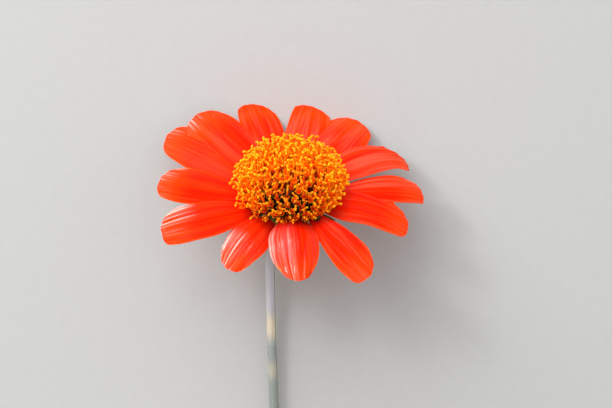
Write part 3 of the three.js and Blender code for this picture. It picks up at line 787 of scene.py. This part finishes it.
def make_anthers(florets):
    """Tubes that stand out of the corollas with five small points, darkest on the florets in front as
    painted shade.
    """
    angle = np.broadcast_to(turns(ANTHER_SIDES), (FLORETS, ANTHER_SIDES))
    point = 0.5 + 0.5 * np.cos(5 * angle)
    rings = []
    for height, radius, rise, _ in ANTHER_RINGS:
        level = florets.mouth[:, None] + height + rise * point
        rings.append(florets.about(level, radius + 0 * point, angle + florets.spin))
    points, triangles = ring_skins(np.stack(rings, axis=1), florets.at_axis(florets.mouth - 0.5),
                                   florets.at_axis(florets.mouth + 0.6))
    reach = np.concatenate([[0.5], np.repeat([row[-1] for row in ANTHER_RINGS], ANTHER_SIDES), [0.7]])
    skin = Skin()
    florets.add_to(skin, points, triangles, np.outer(florets.darkness, reach))
    finish = floret_finish("anther_skin", [(0.0, (255, 104, 6)), (0.4, (232, 66, 4)), (0.75, (130, 28, 4)),
                                           (1.0, (74, 16, 4))], 2600, 0.12)
    skin.piece("disc_anthers", [finish], "disc_florets", "disc_floret")


def make_styles(florets):
    """Shafts that split into two branches, each curled outwards like a horn."""
    skin = Skin()
    steps = np.linspace(0, 1, SHAFT_STEPS)
    height = florets.mouth[:, None] + 0.4 + (florets.length - florets.mouth - 0.35)[:, None] * steps
    path = florets.roots[:, None] + florets.axis[:, None] * height[..., None]
    points, triangles = rods(path, np.full(height.shape, SHAFT_RADIUS), florets.across[:, None], SHAFT_SIDES)
    reach = np.concatenate([[0.1], np.repeat(0.1 + 0.25 * steps, SHAFT_SIDES), [0.35]])
    florets.add_to(skin, points, triangles, np.tile(reach, FLORETS))

    # Branches fork in any direction near the middle of the disc, and to and from its axis at the rim
    share = np.linspace(0, 1, BRANCH_STEPS)
    inner = smoothstep(florets.axis[:, 2:], 0.55, 0.85)
    for way in (0, math.pi):
        fork = draw.uniform(-0.5, 0.5, (FLORETS, 1)) + florets.spin * inner + way
        away = florets.out * np.cos(fork) + florets.across * np.sin(fork)
        square = np.cross(florets.axis, away)
        curl = np.radians(draw.uniform(65, 160, (FLORETS, 1)) * (0.65 + 0.35 * inner)) * share**0.9
        radius = draw.uniform(0.6, 0.95, (FLORETS, 1)) * (1.15 - 0.35 * share)
        outward, upward = radius * (1 - np.cos(curl)), radius * np.sin(curl) * 1.25
        sway = 0.2 * draw.normal(size=(FLORETS, 1)) * share**2
        path = (florets.at_axis(florets.length)[:, None] + away[:, None] * outward[..., None]
                + florets.axis[:, None] * upward[..., None] + square[:, None] * sway[..., None])
        thick = (0.2 + 0.07 * smoothstep(share, 0.2, 0.75)) * np.sqrt(np.clip(1.02 - share**9, 0, 1))
        uneven = thick * draw.uniform(0.88, 1.1, (FLORETS, BRANCH_STEPS))
        radii = uneven * (1 + 0.25 * florets.farness[:, None])
        points, triangles = rods(path, radii, square[:, None], BRANCH_SIDES)
        reach = np.concatenate([[0.3], np.repeat(0.3 + 0.7 * share, BRANCH_SIDES), [1]])
        florets.add_to(skin, points, triangles, np.tile(reach, FLORETS))
    finish = floret_finish("style_skin", [(0.0, (250, 90, 3)), (0.3, (255, 116, 3)), (0.62, (255, 140, 4)),
                                          (1.0, (255, 172, 14))], 5200, 0.12)
    skin.piece("disc_styles", [finish], "disc_florets", "disc_floret")


def make_pales(florets):
    """A dark, stiff, folded scale on the outer side of each floret, its darkness painted shade in the gaps.
    """
    skin = Skin()
    share = np.linspace(0, 1, PALE_ROWS)
    angle = 0.9 * np.linspace(-1, 1, PALE_COLUMNS)[None]
    width = (1 - share**2.2 + 0.05)[:, None]
    reach = np.tile(np.repeat(share, PALE_COLUMNS), 2)
    for k in range(FLORETS):
        base = florets.roots[k] + florets.axis[k] * (share[:, None, None] * 0.82 * florets.mouth[k])
        grid = (base + florets.out[k] * (0.9 * np.cos(angle) - 0.1)[..., None]
                + florets.across[k] * (width * np.sin(angle))[..., None])
        points, triangles, _ = sheet(grid, np.full(grid.shape[:2], PALE_THICKNESS))
        skin.add(off_the_rays(points), triangles, reach=reach, tone=florets.gap_darkness[k])
    skin.piece("disc_pales", [pale_finish()], "disc_florets", "disc_floret")


def make_core():
    """The receptacle that carries the florets and the rays."""
    points, triangles = lathe(CORE_PROFILE, turns(CORE_SIDES))
    skin = Skin()
    skin.add(from_head(points), triangles, tone=smoothstep(points[..., 1], *GAP_EDGE))
    skin.piece("disc_core", [core_finish()], "disc_florets", "disc_floret")


def make_disc():
    florets = Florets()
    make_corollas(florets)
    make_anthers(florets)
    make_styles(florets)
    make_pales(florets)
    make_core()


def make_involucre():
    skin, fuzz = Skin(), Skin()
    turn = turns(CUP_SIDES)
    curve = smooth_path(CUP_PROFILE, 5)
    points, triangles = lathe(curve, turn, 1 + CUP_RIB_SHARE * np.cos(CUP_RIBS * turn))
    along = np.concatenate([[0], np.repeat(np.linspace(0, 0.7, len(curve)), CUP_SIDES), [0.7]])
    across = np.concatenate([[0], np.tile(CUP_RIBS * turn / BRACT_RIB_TURN, len(curve)), [0]])
    skin.add(from_head(points), triangles, along=along, across=across, tone=0.5)
    for row in BRACT_ROWS:
        line = smooth_path(row["line"], 8)
        for k in range(row["count"]):
            add_bract(skin, fuzz, line, row["width"], math.radians(row["turn"] + 360 * k / row["count"]))
    skin.piece("involucre_bracts", [bract_finish()], "involucre", "bract_green", crease=60)
    fuzz.piece("involucre_down", [down_finish()], "involucre", "bract_green")


def add_bract(skin, fuzz, line, width, azimuth):
    """A pointed bract that hugs the cup, then spreads away under the rays."""
    share = np.linspace(0, 1, len(line))[:, None]
    bow = np.linspace(-1, 1, BRACT_COLUMNS)[None]
    half = width / 2 * (1 - 0.82 * share**3) * (1 + 0.03 * draw.uniform(-1, 1))
    lift = 0.14 * half * np.abs(bow) ** 1.5 + 0.05 * np.cos(bow * BRACT_RIB_TURN)
    swing = 0.5 * draw.uniform(-1, 1) * share**2
    curve = np.stack([line[:, :1] + 0 * bow, swing - bow * half, line[:, 1:] + lift], -1)
    x, y, z = np.moveaxis(curve, -1, 0)
    grid = from_head(np.stack([x * math.cos(azimuth) - y * math.sin(azimuth),
                               x * math.sin(azimuth) + y * math.cos(azimuth), z], -1))
    points, triangles, _ = sheet(grid, BRACT_THICKNESS * (1 - 0.5 * np.abs(bow) ** 3) * (1 - 0.3 * share))
    along, across = share + 0 * bow, bow + 0 * share
    skin.add(points, triangles, tone=draw.uniform(), along=np.stack([along, along]),
             across=np.stack([across, across]))

    # Hairs on the edges and ribs, more of them below
    count = BRACT_HAIRS // sum(row["count"] for row in BRACT_ROWS)
    rows = draw.integers(1, len(line) - 1, count)
    columns = draw.choice(HAIRY_COLUMNS, count)
    faces = np.where(draw.uniform(size=count) < 0.4, 0, 1)
    feet = points[faces, rows, columns]
    normals = unit(points[faces, rows, columns] - points[1 - faces, rows, columns])
    hairs(fuzz, feet, normals, length=0.7, width=0.03, spread=0.5)


def stem_radius(distance, length):
    """Radius at a distance from the head end: a thin stem that widens to the cut, under a wider neck."""
    neck = np.maximum(0, 1 - distance / STEM_NECK_LENGTH) ** 2
    below = STEM_THIN_RADIUS + (STEM_CUT_RADIUS - STEM_THIN_RADIUS) * distance / length
    return below + (STEM_NECK_RADIUS - below) * neck


def make_stem():
    headward = np.array([0, math.sin(LEAN), math.cos(LEAN)])
    start = [0, 0, HEAD[2]] + headward * STEM_TOP
    route = smooth_path([start, start - headward * STEM_STRAIGHT, *STEM_ROUTE])
    walked = np.concatenate([[0], np.cumsum(np.linalg.norm(np.diff(route, axis=0), axis=1))])
    length = walked[-1]
    share = np.linspace(0, 1, STEM_RINGS) ** 1.2
    centre = np.stack([np.interp(share * length, walked, route[:, k]) for k in range(3)], -1)
    centre = centre + [HEAD[0], HEAD[1], 0]
    ahead = unit(np.gradient(centre, axis=0))
    side = unit(np.cross([0, 0, 1], ahead))
    above = np.cross(ahead, side)
    turn = turns(STEM_SIDES)
    outward = side[:, None] * np.cos(turn)[:, None] + above[:, None] * np.sin(turn)[:, None]
    radius = stem_radius(share * length, length)[:, None]
    ridged = radius * (1 + 0.03 * np.cos(STEM_RIDGES * turn + 0.4 * np.sin(6 * share[:, None]))) - 0.02
    rings = centre[:, None] + outward * ridged[..., None]
    dished = np.stack([centre[-1] + outward[-1] * ridged[-1][:, None] * scale - ahead[-1] * depth
                       for scale, depth in CUT_RINGS])
    all_rings = np.concatenate([rings, dished])
    points, triangles = ring_skins(all_rings[None], centre[:1], centre[-1:] - ahead[-1:] * CUT_DEPTH)
    points[..., 2] = np.maximum(points[..., 2], LEAST_HEIGHT)

    # The triangles after the first fan and the wall belong to the cut
    wall = STEM_SIDES + 2 * STEM_SIDES * (STEM_RINGS - 1)
    place = (np.arange(len(triangles)) >= wall).astype(int)
    cut_shares = [scale for scale, _ in CUT_RINGS]
    along = np.concatenate([[0], np.repeat([*share, *[1] * len(CUT_RINGS)], STEM_SIDES), [1]])
    around = np.concatenate([[0], np.tile(turn / (2 * math.pi), len(all_rings)), [0]])
    rim = np.concatenate([[0], np.repeat([*[1] * STEM_RINGS, *cut_shares], STEM_SIDES), [0]])
    skin = Skin()
    skin.add(points, triangles, place=place, along=along, across=around, outward=rim)
    skin.piece("stem_skin", [stem_finish(), stem_cut_finish()], "stem", "stem_skin", crease=50)

    # Down, kept off the surface
    fuzz = Skin()
    rows = (draw.uniform(size=STEM_HAIRS) ** 1.1 * (STEM_RINGS - 2)).astype(int)
    columns = draw.integers(0, STEM_SIDES, STEM_HAIRS)
    feet, normals = rings[rows, columns], outward[rows, columns]
    clear = feet[:, 2] > HAIR_CLEARANCE
    sunk = feet[clear] - HAIR_SINK * normals[clear]
    hairs(fuzz, sunk, normals[clear], length=0.75, width=0.028, spread=0.35)
    fuzz.piece("stem_down", [down_finish()], "stem", "stem_skin")


def make_surface():
    mesh = bpy.data.meshes.new("pale_surface")
    corners = [(x * SURFACE_REACH, y * SURFACE_REACH, 0) for x, y in ((-1, -1), (1, -1), (1, 1), (-1, 1))]
    mesh.from_pydata(corners, [], [(0, 1, 2, 3)])
    mesh.materials.append(surface_finish())
    floor = bpy.data.objects.new("pale_surface", mesh)
    bpy.context.scene.collection.objects.link(floor)


def soft_light(name, offset, width, height, power):
    """A soft light at an offset from the head, in metres, turned to face it."""
    lamp = bpy.data.lights.new(name, "AREA")
    lamp.shape = "RECTANGLE"
    lamp.size, lamp.size_y, lamp.energy = width, height, power
    made = bpy.data.objects.new(name, lamp)
    made.location = HEAD * MM + np.array(offset)
    made.rotation_mode = "QUATERNION"
    made.rotation_quaternion = Vector(offset).to_track_quat("Z", "Y")
    made.visible_camera = False
    bpy.context.scene.collection.objects.link(made)


def make_studio():
    scene = bpy.context.scene
    for name, row in LIGHTS.items():
        soft_light(name, *row)
    scene.world = bpy.data.worlds.new("studio")
    scene.world.use_nodes = True
    sky = scene.world.node_tree.nodes["Background"]
    sky.inputs["Color"].default_value = (1, 1, 1, 1)
    sky.inputs["Strength"].default_value = SKY_STRENGTH
    scene.view_settings.view_transform = "Standard"
    lens = bpy.data.cameras.new("camera")
    lens.sensor_width, lens.lens = SENSOR, LENS
    camera = bpy.data.objects.new("camera", lens)
    camera.location = np.array(EYE) * MM
    scene.collection.objects.link(camera)
    scene.camera = camera


make_rays()
make_disc()
make_involucre()
make_stem()
make_surface()
make_studio()
